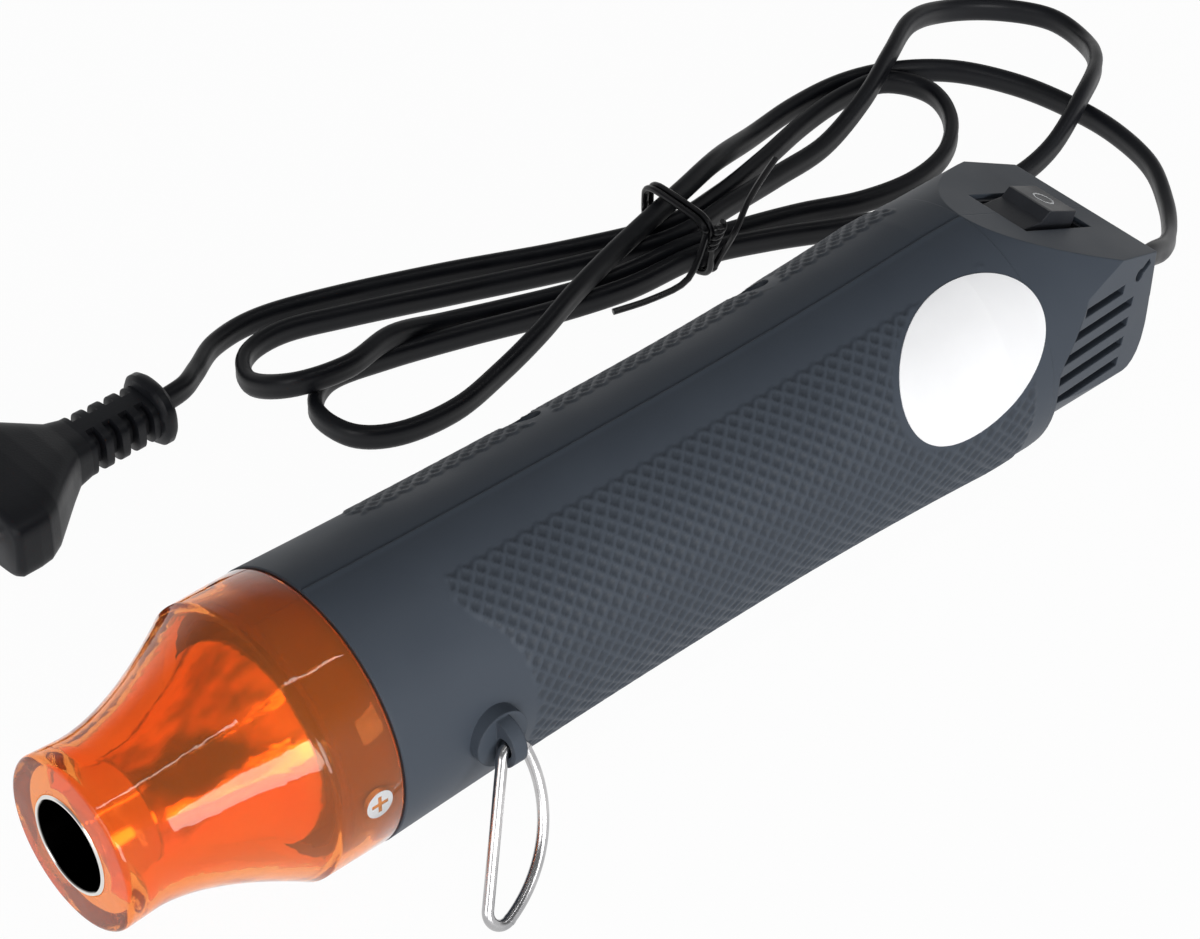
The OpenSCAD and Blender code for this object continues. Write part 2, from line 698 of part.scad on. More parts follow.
// A ridged key that tips about its trunnions
module rocker() color("#303238") placed() on_panel() translate([0, 0, -pivot_depth])
    rotate([0, -rocker_tilt, 0]) {
        h = rocker_l / 2;
        back = h - rocker_back;
        top = pivot_depth + ridge_h;
        end = top - back * tan(rocker_slope);
        rotate([90, 0, 0]) linear_extrude(rocker_w, center = true)
            polygon([[-h, pivot_depth + rocker_front], [-2, pivot_depth + rocker_foot],
                [-0.5, top], [0.1, top], [back, end], [back - 0.8, end - 5], [2.2, -2],
                [-2.2, -2], [-h + 0.8, pivot_depth - 3]]);
        bar_y(-rocker_w / 2 - 1, 1, rocker_w + 2);
    }

// An oval sheet that follows the round of the grip
module rating_label() color("#f1f1ef") placed() intersection() {
    steps = [for (i = [-7:6]) label_x + 0.7 + 3 * i];
    turned(concat([for (x = steps) [grip_r(x) + 0.02, x]],
        [for (i = [13:-1:0]) [grip_r(steps[i]) + 0.24, steps[i]]]));
    translate([label_x, 0, 0]) rotate([label_turn, 0, 0]) rotate([0, 0, label_lean])
        scale([label_half_l, label_half_w, 1]) cylinder(r = 1, h = far / 2, $fn = 72);
}

// A D of round wire: a straight bar, two tight corners and one wide arc, with a slight weld
// where they meet. The corner in the lug is next to the origin, and the bar leans towards the
// nozzle as it hangs.
module ring_shape() rotate([0, 0, -ring_lean]) translate([-ring_corner_r, -ring_half, 0]) {
    rotate([90, 0, 0]) cylinder(r = ring_r, h = ring_bar, center = true, $fn = 32);
    for (s = [0, 1]) mirror([0, s, 0]) translate([ring_corner_r, -ring_half, 0])
        rotate([0, 0, 180]) {
            rotate_extrude(angle = 180 - ring_arc_a)
                translate([ring_corner_r, 0]) circle(r = ring_r, $fn = 32);
            rotate([0, 0, 180 - ring_arc_a]) translate([ring_corner_r, 0, 0])
                rotate([90, 0, 0]) cylinder(r = ring_r + weld_h, h = 0.6, center = true);
        }
    translate([ring_depth - ring_arc_r, 0, 0]) rotate([0, 0, -ring_arc_a])
        rotate_extrude(angle = 2 * ring_arc_a, $fn = 180)
            translate([ring_arc_r, 0]) circle(r = ring_r, $fn = 32);
}

module hanging_ring() color("#cfd2d6") placed()
    translate([lug_x, -lug_reach, lug_z]) rotate([90 - ring_rest, 0, 0])
        translate([0, -ring_corner_r, 0]) ring_shape();

// A bar that presses the flex against the block in the left shell
module cord_clamp() color("#55585e") placed() difference() {
    translate([clamp_x, cord_t / 2, outlet_z - clamp_h / 2]) cube([clamp_w, clamp_t, clamp_h]);
    for (s = [-1, 1]) translate([clamp_x + clamp_w / 2, 0, outlet_z + s * clamp_screw_z])
        bar_y(-1, screw_r + slip, 9);
}

module clamp_screws() color("#9a9c9f") placed() for (s = [-1, 1])
    translate([clamp_x + clamp_w / 2, cord_t / 2 + clamp_t, outlet_z + s * clamp_screw_z])
        screw_y(clamp_t + cord_t + 5);

module inner_flex() color("#1c1d20") placed() flex_bar(clamp_x - 6, relief_tip, 0);

// A tapered sleeve with a collar inside the rear wall
module cord_bush() color("#1e1f22") placed() difference() {
    r = relief_d / 2;
    translate([0, 0, outlet_z]) {
        bar_x(rear_wall_x - 2.2, r, 2.2);
        bar_x(rear_wall_x - 0.1, r - 1, shell_wall + 0.2);
        translate([tool_len, 0, 0]) rotate([0, 90, 0])
            cylinder(r1 = r, r2 = cord_w / 2 + 0.7, h = relief_len, $fn = 32);
    }
    flex_bar(rear_wall_x - 4, relief_tip + 1, run);
}

module power_cord() color("#17181b") on_floor()
    swept(smooth(cord_path, cord_step), cord_w, cord_t, cord_sides, [1, 0, 0], [-1, 0, 0]);

module twist_tie() color("#202124") on_floor() {
    n = 24;
    turns = [for (i = [0:tie_turns * n]) let (a = -180 - 360 * i / n, c = cos(a), s = sin(a))
        [tie_x - 1.5 + 3 * i / (tie_turns * n),
            tie_y + tie_half_w * sign(c) * pow(abs(c), 0.4),
            tie_d / 2 + (tie_h - tie_d) / 2 * (1 + sign(s) * pow(abs(s), 0.4))]];
    swept(concat(tie_lead, [for (i = [1:len(turns) - 2]) turns[i]], tie_tail), tie_d, tie_d, 6);
}

// A flat two-pin plug with a ribbed neck and a six-sided pull flange
module plug_body() color("#1b1c1f") on_floor() translate([plug_x, plug_y, plug_z])
    rotate([0, 0, 180]) difference() {
        neck_l = 19;
        union() {
            intersection() {
                linear_extrude(plug_t, center = true)
                    polygon([[neck_l - 3, -5.6], [neck_l + 4, -6.4], [plug_len - 14, -plug_w / 2 + 5],
                        [plug_len - 8, -plug_w / 2], [plug_len, -plug_w / 2],
                        [plug_len, plug_w / 2], [plug_len - 8, plug_w / 2],
                        [plug_len - 14, plug_w / 2 - 5], [neck_l + 4, 6.4], [neck_l - 3, 5.6]]);
                rotate([90, 0, 0]) linear_extrude(far, center = true)
                    polygon([[neck_l - 3, -4.6], [plug_len - 16, -plug_t / 2],
                        [plug_len, -plug_t / 2], [plug_len, plug_t / 2],
                        [plug_len - 16, plug_t / 2], [neck_l - 3, 4.6]]);
            }
            translate([1, -5.4, -4.4]) cube([neck_l, 10.8, 8.8]);
            bar_x(0, 6.8, 3, $fn = 6);
        }
        // four rows of rib slots on the neck
        for (i = [0:3]) translate([4.6 + 3.6 * i, 0, 0]) {
            for (s = [-1, 1]) {
                translate([0, s * 2.9 - 2.1, -far / 2]) cube([1.7, 4.2, far / 2 - 3.2]);
                translate([0, s * 2.9 - 2.1, 3.2]) cube([1.7, 4.2, far / 2]);
                translate([0, s > 0 ? 4.3 : -far / 2, -3.4]) cube([1.7, far / 2 - 4.3, 6.8]);
            }
        }
        for (s = [-1, 1]) translate([0, s * pin_pitch / 2, 0])
            bar_x(plug_len - pin_root, pin_d / 2 - pin_step, pin_root + 2);
    }

module plug_pins() color("#d0d2d4") on_floor() translate([plug_x, plug_y, plug_z])
    rotate([0, 0, 180]) for (s = [-1, 1]) translate([0, s * pin_pitch / 2, 0]) {
        bar_x(plug_len, pin_d / 2, pin_len);
        bar_x(plug_len - pin_root, pin_d / 2 - pin_step, pin_root + 1);
    }

left_shell();
right_shell();
housing_screws();
nozzle_shroud();
shroud_screws();
nozzle_tube();
heat_shield();
mica_sleeve();
mica_cross();
heater_coil();
thermal_cutout();
motor_shaft();
fan_impeller();
fan_motor();
motor_mount();
circuit_board();
rectifier_diodes();
capacitor();
lead_wires();
switch_housing();
switch_terminals();
rocker();
rating_label();
hanging_ring();
cord_clamp();
clamp_screws();
inner_flex();
cord_bush();
power_cord();
twist_tie();
plug_body();
plug_pins();
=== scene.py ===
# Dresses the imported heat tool: camera and cord first, then the plug, the shroud, the grip, the
# switch and the small parts, each with its own procedural finish.
import math
import bpy
import numpy as np
from mathutils import Matrix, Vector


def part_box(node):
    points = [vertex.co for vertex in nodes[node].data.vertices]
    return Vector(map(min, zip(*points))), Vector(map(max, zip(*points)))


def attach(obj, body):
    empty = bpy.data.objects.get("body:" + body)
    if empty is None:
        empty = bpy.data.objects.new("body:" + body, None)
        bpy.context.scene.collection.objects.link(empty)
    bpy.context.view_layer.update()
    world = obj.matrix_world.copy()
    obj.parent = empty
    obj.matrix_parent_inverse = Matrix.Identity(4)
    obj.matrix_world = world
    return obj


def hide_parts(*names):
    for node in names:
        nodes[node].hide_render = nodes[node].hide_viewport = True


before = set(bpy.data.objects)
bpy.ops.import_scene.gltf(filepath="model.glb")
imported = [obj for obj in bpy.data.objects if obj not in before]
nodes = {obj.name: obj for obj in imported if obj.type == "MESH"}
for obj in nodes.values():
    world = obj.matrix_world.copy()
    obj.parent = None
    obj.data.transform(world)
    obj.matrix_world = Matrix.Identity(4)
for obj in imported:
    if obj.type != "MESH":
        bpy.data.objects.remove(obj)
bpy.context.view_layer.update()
print("stage: frame loaded")

# the handle's own frame is in millimetres: x from the nozzle's tip, y and z from the axis
tubeLow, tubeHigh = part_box("nozzle_tube")
handleOrigin = np.array([tubeLow[0], (tubeLow[1] + tubeHigh[1]) / 2, (tubeLow[2] + tubeHigh[2]) / 2])
floorZ = -25.0  # the handle lies on its own radius


def toRow(points):
    # handle millimetres to the row frame in metres
    return np.asarray(points, float) / 1000 + handleOrigin


def turnY(points, angle):
    # turned about Y by angle, so that a positive angle takes x downwards
    cosine, sine = math.cos(math.radians(angle)), math.sin(math.radians(angle))
    p = np.asarray(points, float)
    x, y, z = p[..., 0], p[..., 1], p[..., 2]
    return np.stack([x * cosine + z * sine, y, z * cosine - x * sine], -1)


def unitRows(rows):
    # each row divided by its own length
    return rows / np.linalg.norm(rows, axis=-1, keepdims=True)


def ease(t):
    # a smooth step from 0 to 1: three times the square less twice the cube
    t = np.clip(t, 0, 1)
    return t * t * (3 - 2 * t)


def signedPower(value, power):
    # the value's size to the power, with the value's own sign
    return np.sign(value) * np.abs(value) ** power


def standAt(obj, side, up, back, stand):
    # the object's own x, y and z point along side, up and back, and its origin is at stand
    pose = np.eye(4)
    pose[:3] = np.stack([side, up, back, stand], 1)
    obj.matrix_world = Matrix(pose.tolist())
    bpy.context.collection.objects.link(obj)


# camera
cameraLook = {"stand": (-245.3, -399.3, 468.4), "right": (0.7467, -0.6651, 0.0002),
    "ahead": (0.5071, 0.5692, -0.6472), "lens": 126.63, "sensor": 36, "nearest": 0.01}

lensData = bpy.data.cameras.new("studioCamera")
lensData.lens = cameraLook["lens"]
lensData.sensor_width = cameraLook["sensor"]
lensData.clip_start = cameraLook["nearest"]
studioCamera = bpy.data.objects.new("studioCamera", lensData)
ahead = unitRows(np.array(cameraLook["ahead"]))
right = unitRows(np.array(cameraLook["right"]) - ahead * np.dot(ahead, cameraLook["right"]))
standAt(studioCamera, right, -np.cross(ahead, right), -ahead, toRow(cameraLook["stand"]))
bpy.context.scene.camera = studioCamera
print("stage: camera set")


# mesh tools
def gridMesh(name, points, aroundU=False, aroundV=False, caps=(), keep=None, flip=False,
        closed=False, sharp=35):
    # one vertex for each point of the grid [u, v] and one quad between four neighbours. A
    # direction that goes around joins its last row to its first, and a cap is one face over an
    # end row. A closed mesh is turned round if the volume summed over its faces is negative.
    countU, countV = points.shape[:2]
    u, v = np.meshgrid(np.arange(countU if aroundU else countU - 1),
        np.arange(countV if aroundV else countV - 1), indexing="ij")
    nextU, nextV = (u + 1) % countU, (v + 1) % countV
    quads = np.stack([u * countV + v, nextU * countV + v, nextU * countV + nextV,
        u * countV + nextV], -1)
    if keep is not None:
        quads = quads[keep]
    quads = quads.reshape(-1, 4)
    flat = points.reshape(-1, 3)
    faces = quads.tolist()
    if "start" in caps:
        faces.append(list(range(countV)))
    if "end" in caps:
        faces.append(list(range((countU - 1) * countV, countU * countV))[::-1])
    if closed:
        p0, p1, p2, p3 = (flat[quads[:, i]] for i in range(4))
        volume = np.einsum("ij,ij->i", p0, np.cross(p1, p2) + np.cross(p2, p3)).sum()
        for cap in faces[len(quads):]:
            ring = flat[cap]
            volume += np.einsum("ij,ij->i", np.broadcast_to(ring[0], ring[1:-1].shape),
                np.cross(ring[1:-1], ring[2:])).sum()
        flip = volume < 0
    if flip:
        faces = [face[::-1] for face in faces]
    mesh = bpy.data.meshes.new(name)
    mesh.from_pydata(flat.tolist(), [], faces)
    mesh.polygons.foreach_set("use_smooth", np.ones(len(mesh.polygons), bool))
    mesh.update()
    mesh.set_sharp_from_angle(angle=math.radians(sharp))
    obj = bpy.data.objects.new(name, mesh)
    bpy.context.collection.objects.link(obj)
    return obj


def smoothPath(points, steps):
    # a cubic from each point to the next, in steps; the slope at a point is half the way from
    # the point before it to the one after it
    p = np.vstack([points[:1], points, points[-1:]])
    t = (np.arange(steps) / steps)[None, :, None]
    p0, p1, p2, p3 = (p[i:len(p) - 3 + i, None] for i in range(4))
    curve = p1 + t * ((p2 - p0) / 2 + t * ((2 * p0 - 5 * p1 + 4 * p2 - p3) / 2
        + t * (3 * p1 - p0 - 3 * p2 + p3) / 2))
    return np.vstack([curve.reshape(-1, 3), points[-1:]])


def sweptTube(name, path, profile, ends=None):
    # the profile [across, up] stands square to the path at each of its points: across is level,
    # and up is square to across and to the path
    along = np.gradient(path, axis=0)
    if ends is not None:
        along[0], along[-1] = ends
    along = unitRows(along)
    side = unitRows(np.cross(along, [0, 0, 1.0]))
    up = np.cross(side, along)
    grid = path[:, None] + side[:, None] * profile[:, :1] + up[:, None] * profile[:, 1:]
    return gridMesh(name, toRow(grid), aroundV=True, caps=("start", "end"), closed=True)


def turnedForm(name, profile, sides, sharp):
    # each point [radius, station] of the closed profile goes round the handle's axis
    angle = np.linspace(0, 2 * math.pi, sides, endpoint=False)
    radius, station = np.asarray(profile, float).T
    grid = np.stack([np.broadcast_to(station[:, None], (len(station), sides)),
        radius[:, None] * np.cos(angle), radius[:, None] * np.sin(angle)], -1)
    return gridMesh(name, toRow(grid), aroundU=True, aroundV=True, closed=True, sharp=sharp)


# node tools
def mapRange(tree, source, low, high, start, end):
    # the source's stretch from low to high becomes start to end, and stays there past its ends
    node = tree.nodes.new("ShaderNodeMapRange")
    for key, value in zip(("From Min", "From Max", "To Min", "To Max"), (low, high, start, end)):
        node.inputs[key].default_value = value
    tree.links.new(source, node.inputs["Value"])
    return node


def mathNode(tree, operation, first, second):
    # one operation on two values; the second is a socket or a plain number
    node = tree.nodes.new("ShaderNodeMath")
    node.operation = operation
    tree.links.new(first, node.inputs[0])
    if isinstance(second, float):
        node.inputs[1].default_value = second
    else:
        tree.links.new(second, node.inputs[1])
    return node.outputs[0]


def noiseOn(tree, place, scale, detail):
    # soft noise from 0 to 1, with scale spots to a metre
    node = tree.nodes.new("ShaderNodeTexNoise")
    node.inputs["Scale"].default_value = scale
    node.inputs["Detail"].default_value = detail
    tree.links.new(place, node.inputs["Vector"])
    return node.outputs["Fac"]


def objectPlace(tree, scale, location=(0, 0, 0)):
    # Object coordinates, stretched by scale and then moved by location
    place = tree.nodes.new("ShaderNodeTexCoord")
    mapping = tree.nodes.new("ShaderNodeMapping")
    mapping.inputs["Scale"].default_value = scale
    mapping.inputs["Location"].default_value = location
    tree.links.new(place.outputs["Object"], mapping.inputs["Vector"])
    return mapping.outputs["Vector"]


# finishes: what a look leaves out comes from plainLook
metal = {"Metallic": 1.0}
plainLook = {"set": {}, "stretch": (1, 1, 1), "cloud": 60, "cloudDetail": 4, "ramp": (0.3, 0.7),
    "brighter": 1.15, "roughRamp": (0.3, 0.7), "grain": 2500, "grainDetail": 3, "bump": 0.2,
    "depth": 0.00008, "edgeRays": 6}


def makeFinish(name, look):
    # broad noise drifts the colour and the roughness, fine noise gives the moulded grain, and
    # a rounded normal softens hard edges
    look = {**plainLook, **look}
    mat = bpy.data.materials.new(name)
    mat.use_nodes = True
    tree = mat.node_tree
    shader = tree.nodes["Principled BSDF"]
    for key, value in look["set"].items():
        shader.inputs[key].default_value = value
    place = objectPlace(tree, look["stretch"])
    broad = noiseOn(tree, place, look["cloud"], look["cloudDetail"])
    ramp = tree.nodes.new("ShaderNodeValToRGB")
    color2 = look.get("color2", [c * look["brighter"] for c in look["color"]])
    for stop, position, color in zip(ramp.color_ramp.elements, look["ramp"], (look["color"], color2)):
        stop.position = position
        stop.color = (*color, 1)
    tree.links.new(broad, ramp.inputs["Fac"])
    tree.links.new(ramp.outputs["Color"], shader.inputs["Base Color"])
    gloss = mapRange(tree, broad, *look["roughRamp"], *look["rough"])
    tree.links.new(gloss.outputs["Result"], shader.inputs["Roughness"])
    bump = tree.nodes.new("ShaderNodeBump")
    bump.inputs["Strength"].default_value = look["bump"]
    bump.inputs["Distance"].default_value = look["depth"]
    tree.links.new(noiseOn(tree, place, look["grain"], look["grainDetail"]), bump.inputs["Height"])
    if "edge" in look:
        rounded = tree.nodes.new("ShaderNodeBevel")
        rounded.samples = look["edgeRays"]
        rounded.inputs["Radius"].default_value = look["edge"]
        tree.links.new(rounded.outputs["Normal"], bump.inputs["Normal"])
    tree.links.new(bump.outputs["Normal"], shader.inputs["Normal"])
    return mat


def shadeBy(mat, factor, dark, bright):
    # the finish's colour times a grey that runs from dark to bright as factor goes from 0 to 1; both uses
    # paint shade, into the tube's bore and into the knurl's low squares
    tree = mat.node_tree
    shader = tree.nodes["Principled BSDF"]
    source = shader.inputs["Base Color"].links[0].from_socket
    grey = mapRange(tree, factor(tree), 0, 1, dark, bright)
    scale = tree.nodes.new("ShaderNodeVectorMath")
    scale.operation = "SCALE"
    tree.links.new(source, scale.inputs["Vector"])
    tree.links.new(grey.outputs["Result"], scale.inputs["Scale"])
    tree.links.new(scale.outputs["Vector"], shader.inputs["Base Color"])


def dress(mat, *names):
    # CAD nodes whose shape is right get the finish in all their slots
    for name in names:
        obj = nodes[name]
        if not obj.material_slots:
            obj.data.materials.append(mat)
        for slot in obj.material_slots:
            slot.material = mat


def wear(obj, mat, body):
    # a new piece gets its finish, its body and its slot
    obj.data.materials.append(mat)
    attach(obj, body)


# power cord: each route point is a station, a distance from the axis and a height over the floor
cordLook = {"width": 5.0, "thick": 3.2, "flatness": 0.8, "groove": 0.16, "grooveWidth": 0.25,
    "steps": 8, "innerFrom": 200.0, "innerPoints": 8}
cordRoute = np.array([[242, 0, 14], [250, 2, 12], [258.5, 5.5, 7.5], [266.5, 11, 3.8],
    [274, 18.5, 2.6], [281, 29, 2.6], [284, 41, 2.6], [284, 52.5, 2.6], [281.5, 65.5, 2.6],
    [275.5, 77.5, 2.6], [266, 85.5, 2.6], [255, 89.5, 2.6], [242, 90, 2.6], [227.5, 87, 4],
    [213, 81.5, 8.5], [200.5, 77.5, 9.6], [188.5, 74.5, 9.6], [176, 71.5, 9], [164.5, 68.5, 8],
    [154.5, 66, 6], [143.5, 64.5, 3.4], [131, 62.5, 2.6], [119, 64, 2.6], [112, 69.5, 2.6],
    [111.5, 79, 2.6], [119, 84.5, 2.6], [131, 82.5, 2.6], [146, 78, 2.6], [162, 72.5, 2.6],
    [178, 67.5, 3.4], [194, 65.5, 4.1], [208.5, 61, 3.2], [223.5, 54, 2.6], [239, 47, 2.6],
    [255, 44, 2.6], [269, 45, 4], [282.5, 49.5, 7.9], [294, 56.5, 6.5], [302, 66.5, 3],
    [303.5, 77.5, 2.6], [298, 87, 2.6], [287.5, 92, 4.5], [275.5, 90.5, 7.9], [264, 85, 8],
    [251.5, 79.5, 6], [238, 76.5, 2.8], [224.5, 75.5, 2.6], [209.5, 74, 3.4], [194, 72.5, 4.1],
    [176.5, 79.5, 2.6], [154.5, 88.5, 2.6], [134, 97, 2.6], [121, 101.5, 2.6],
    [111.5, 100, 2.6], [107, 92.5, 3.4], [110, 83.5, 7], [120, 80, 8], [132, 82.5, 7],
    [144.5, 82.5, 3.4], [156, 79, 2.6], [170, 74, 2.6], [182, 71, 3.2], [194, 69, 4.1],
    [207, 67, 3], [219, 63.5, 2.6], [230.5, 58.5, 2.6], [242.5, 56.5, 2.6], [254, 59, 2.6],
    [263, 66.5, 2.6], [266.5, 76, 2.6], [262, 84.5, 2.6], [251.5, 86, 2.6], [239.5, 84.5, 2.6],
    [225, 81, 2.6], [209.5, 77.5, 3.4], [194.5, 76.5, 4.1], [176.5, 85, 2.6], [155, 95, 2.6],
    [134, 103.5, 2.6], [120, 107.5, 2.6], [109, 106, 3.4], [100.5, 100.5, 5],
    [94.5, 96.5, 6.6], [88, 95.5, 6.9]]) + [0, 0, floorZ]


def flexProfile(look, sides=20):
    # an oval, pulled in at its middle by a soft groove, so that it shows its two cores
    turn = np.linspace(0, 2 * math.pi, sides, endpoint=False) + math.pi / sides
    across = look["thick"] / 2 * signedPower(np.cos(turn), look["flatness"])
    across *= 1 - look["groove"] * np.exp(-(np.sin(turn) / look["grooveWidth"]) ** 2)
    return np.stack([across, look["width"] / 2 * np.sin(turn)], -1)


cordRubber = makeFinish("cordRubber", {"color": (0.006, 0.0065, 0.009), "color2": (0.010, 0.011, 0.014),
    "rough": (0.36, 0.5), "cloud": 120, "grain": 1800, "bump": 0.25, "depth": 0.00006,
    "set": {"Specular IOR Level": 0.22}})
cordPath = smoothPath(cordRoute, cordLook["steps"])
cordSection = flexProfile(cordLook)
powerCord = sweptTube("powerCord", cordPath, cordSection, ends=([1, 0, 0], [-1, 0, 0]))
cordStart = cordRoute[0]  # the stretch inside the tail leads straight up to it
innerStations = np.linspace(cordLook["innerFrom"], cordStart[0], cordLook["innerPoints"])
innerPath = np.array([[x, 0, cordStart[2]] for x in innerStations])
innerFlex = sweptTube("innerFlex", innerPath, cordSection)

# the tie: two turns of a squarish oval hug the bundle, with a free end before and after them
tieLook = {"x": 194.0, "y": 71.1, "halfWidth": 9.0, "height": 14.6, "squareness": 0.4, "wire": 1.3,
    "turns": 2, "turnSteps": 24, "spread": 3.0, "steps": 4, "sides": 10,
    "start": [[170, 63.2, 4.4], [178, 60.6, 5], [186, 59.8, 6]],
    "end": [[199.5, 61.2, 10], [204, 63, 13], [210.5, 65.8, 14.2], [216, 68, 14.8]]}
tieTurn = math.pi + np.linspace(0, 2 * math.pi * tieLook["turns"],
    tieLook["turnSteps"] * tieLook["turns"] + 1)[1:-1]
tieTurns = np.stack([
    tieLook["x"] - tieLook["spread"] / 2 + tieLook["spread"] * np.linspace(0, 1, len(tieTurn)),
    tieLook["y"] + tieLook["halfWidth"] * signedPower(np.cos(tieTurn), tieLook["squareness"]),
    tieLook["wire"] / 2 + (tieLook["height"] - tieLook["wire"]) / 2
    * (1 + signedPower(-np.sin(tieTurn), tieLook["squareness"]))], -1)
tiePoints = np.vstack([tieLook["start"], tieTurns, tieLook["end"]]) + [0, 0, floorZ]
roundTurn = np.linspace(0, 2 * math.pi, tieLook["sides"], endpoint=False)
tieRound = np.stack([np.cos(roundTurn), np.sin(roundTurn)], -1) * tieLook["wire"] / 2
twistTie = sweptTube("twistTie", smoothPath(tiePoints, tieLook["steps"]), tieRound)

# the knot: two strands wind round each other where the ends leave the bundle
knotLook = {"from": (194.0, 62.0, 8.0), "reach": (1.2, -1.6, 6.0), "points": 60, "twists": 2.2,
    "radius": 0.75, "flat": (1, 0.6, 0.3), "thin": 0.8}
wind = np.linspace(0, 1, knotLook["points"])
knotLine = np.array(knotLook["from"]) + wind[:, None] * np.array(knotLook["reach"])
tieKnots = []
for strand in range(2):
    turn = strand * math.pi + wind * 2 * math.pi * knotLook["twists"]
    offset = np.stack([np.cos(turn), np.sin(turn), np.sin(turn)], -1) * knotLook["flat"]
    strandPath = knotLine + offset * knotLook["radius"] + [0, 0, floorZ]
    tieKnots.append(sweptTube("tieKnot%d" % strand, strandPath, tieRound * knotLook["thin"]))
tiePlastic = makeFinish("tiePlastic", {"color": (0.006, 0.006, 0.008), "rough": (0.25, 0.4),
    "cloud": 300, "bump": 0.1, "set": {"Specular IOR Level": 0.3}})
for piece in [twistTie] + tieKnots:
    wear(piece, tiePlastic, "handle")
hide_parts("twist_tie")

# plug: each row is a distance from its cord end, half width, half thickness and squareness
plugLook = {"x": 88.0, "y": 95.5, "z": 6.85 + floorZ, "sides": 96, "sleeve": 5.3,
    "slots": 4, "slotPitch": 3.6, "slotFrom": 4.6, "slotWidth": 1.7, "slotDepth": 1.5,
    "slotFoot": 0.12, "slotFlank": 0.25, "slotSpare": 0.2, "web": 0.14, "webEdge": 0.08,
    "fine": (4.2, 20, 0.15), "coarse": (20, 43, 0.7)}
plugRows = np.array([[0, 4.6, 3.6, 2.2], [0.15, 6.3, 5.9, 2.4], [0.9, 6.8, 6.4, 2.6],
    [2.2, 6.8, 6.4, 2.6], [2.9, 6.3, 5.9, 2.4], [3.1, 5.3, 4.3, 3.2], [4.2, 5.3, 4.3, 3.6],
    [18.4, 5.5, 4.5, 3.6], [21.5, 6.1, 5.0, 3.8], [25, 8.8, 5.8, 4.2], [29.5, 12.6, 6.5, 4.8],
    [33, 15.6, 6.8, 5.2], [36, 17.3, 6.85, 5.6], [38.5, 17.6, 6.85, 6], [42.2, 17.65, 6.85, 6],
    [43.1, 17.3, 6.5, 5.6], [43.5, 16.7, 5.9, 5.2]])


def slottedSleeve(along, around):
    # what the slots leave of the sleeve's radius; a web at top and bottom joins the ribs, and
    # phase is the way past the first slot's start
    look = plugLook
    phase = along - look["slotFrom"]
    lastEnd = look["slotPitch"] * (look["slots"] - 1) + look["slotWidth"]
    inSleeve = (phase > -look["slotSpare"]) & (phase < lastEnd + look["slotSpare"])
    halfGap = (look["slotPitch"] - look["slotWidth"]) / 2
    offMiddle = np.abs(np.mod(phase + halfGap, look["slotPitch"]) - halfGap - look["slotWidth"] / 2)
    inSlot = ease((look["slotWidth"] / 2 + look["slotFoot"] - offMiddle) / look["slotFlank"]) * inSleeve
    offWeb = ease((np.abs(np.cos(around)) - look["web"]) / look["webEdge"])
    return 1 - look["slotDepth"] / look["sleeve"] * inSlot[:, None] * offWeb[None]


along = np.unique(np.concatenate([plugRows[:, 0], np.arange(*plugLook["fine"]),
    np.arange(*plugLook["coarse"])]))
around = np.linspace(0, 2 * math.pi, plugLook["sides"], endpoint=False)
wide, thick, square = (np.interp(along, plugRows[:, 0], plugRows[:, i])[:, None] for i in (1, 2, 3))
left = slottedSleeve(along, around)
plugGrid = np.stack([plugLook["x"] - np.broadcast_to(along[:, None], left.shape),
    plugLook["y"] + wide * signedPower(np.cos(around), 2 / square) * left,
    plugLook["z"] + thick * signedPower(np.sin(around), 2 / square) * left], -1)
plugShell = gridMesh("plugShell", toRow(plugGrid), aroundV=True, caps=("start", "end"),
    closed=True, sharp=40)
plugRubber = makeFinish("plugRubber", {"color": (0.009, 0.010, 0.013), "color2": (0.014, 0.015, 0.019),
    "rough": (0.38, 0.52), "cloud": 90, "grain": 2400, "bump": 0.3, "depth": 0.00008,
    "set": {"Specular IOR Level": 0.22}})
wear(plugShell, plugRubber, "handle")
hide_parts("plug_body")

wear(powerCord, cordRubber, "handle")
wear(innerFlex, cordRubber, "handle")
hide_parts("power_cord")
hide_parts("inner_flex")

# nozzle shroud
shroudLook = {"neck": 15.3, "flareFrom": 8.0, "flareEnd": 34.5, "full": 25.0, "rear": 47.1,
    "middle": 41.0, "wall": 2.2, "innerShift": 0.5, "step": 0.8, "lip": 1.0, "proud": 0.3,
    "front": 0.3, "bore": 9.05, "power": 1.75, "lean": 0.12}


def flareRadius(x):
    # the neck's radius, growing to the full one with a power of the way back; lean lifts the
    # curve before its end
    look = shroudLook
    t = np.clip((x - look["flareFrom"]) / (look["flareEnd"] - look["flareFrom"]), 0, 1)
    rise = t ** look["power"] * (1 + look["lean"] - look["lean"] * t)
    return look["neck"] + (look["full"] - look["neck"]) * rise


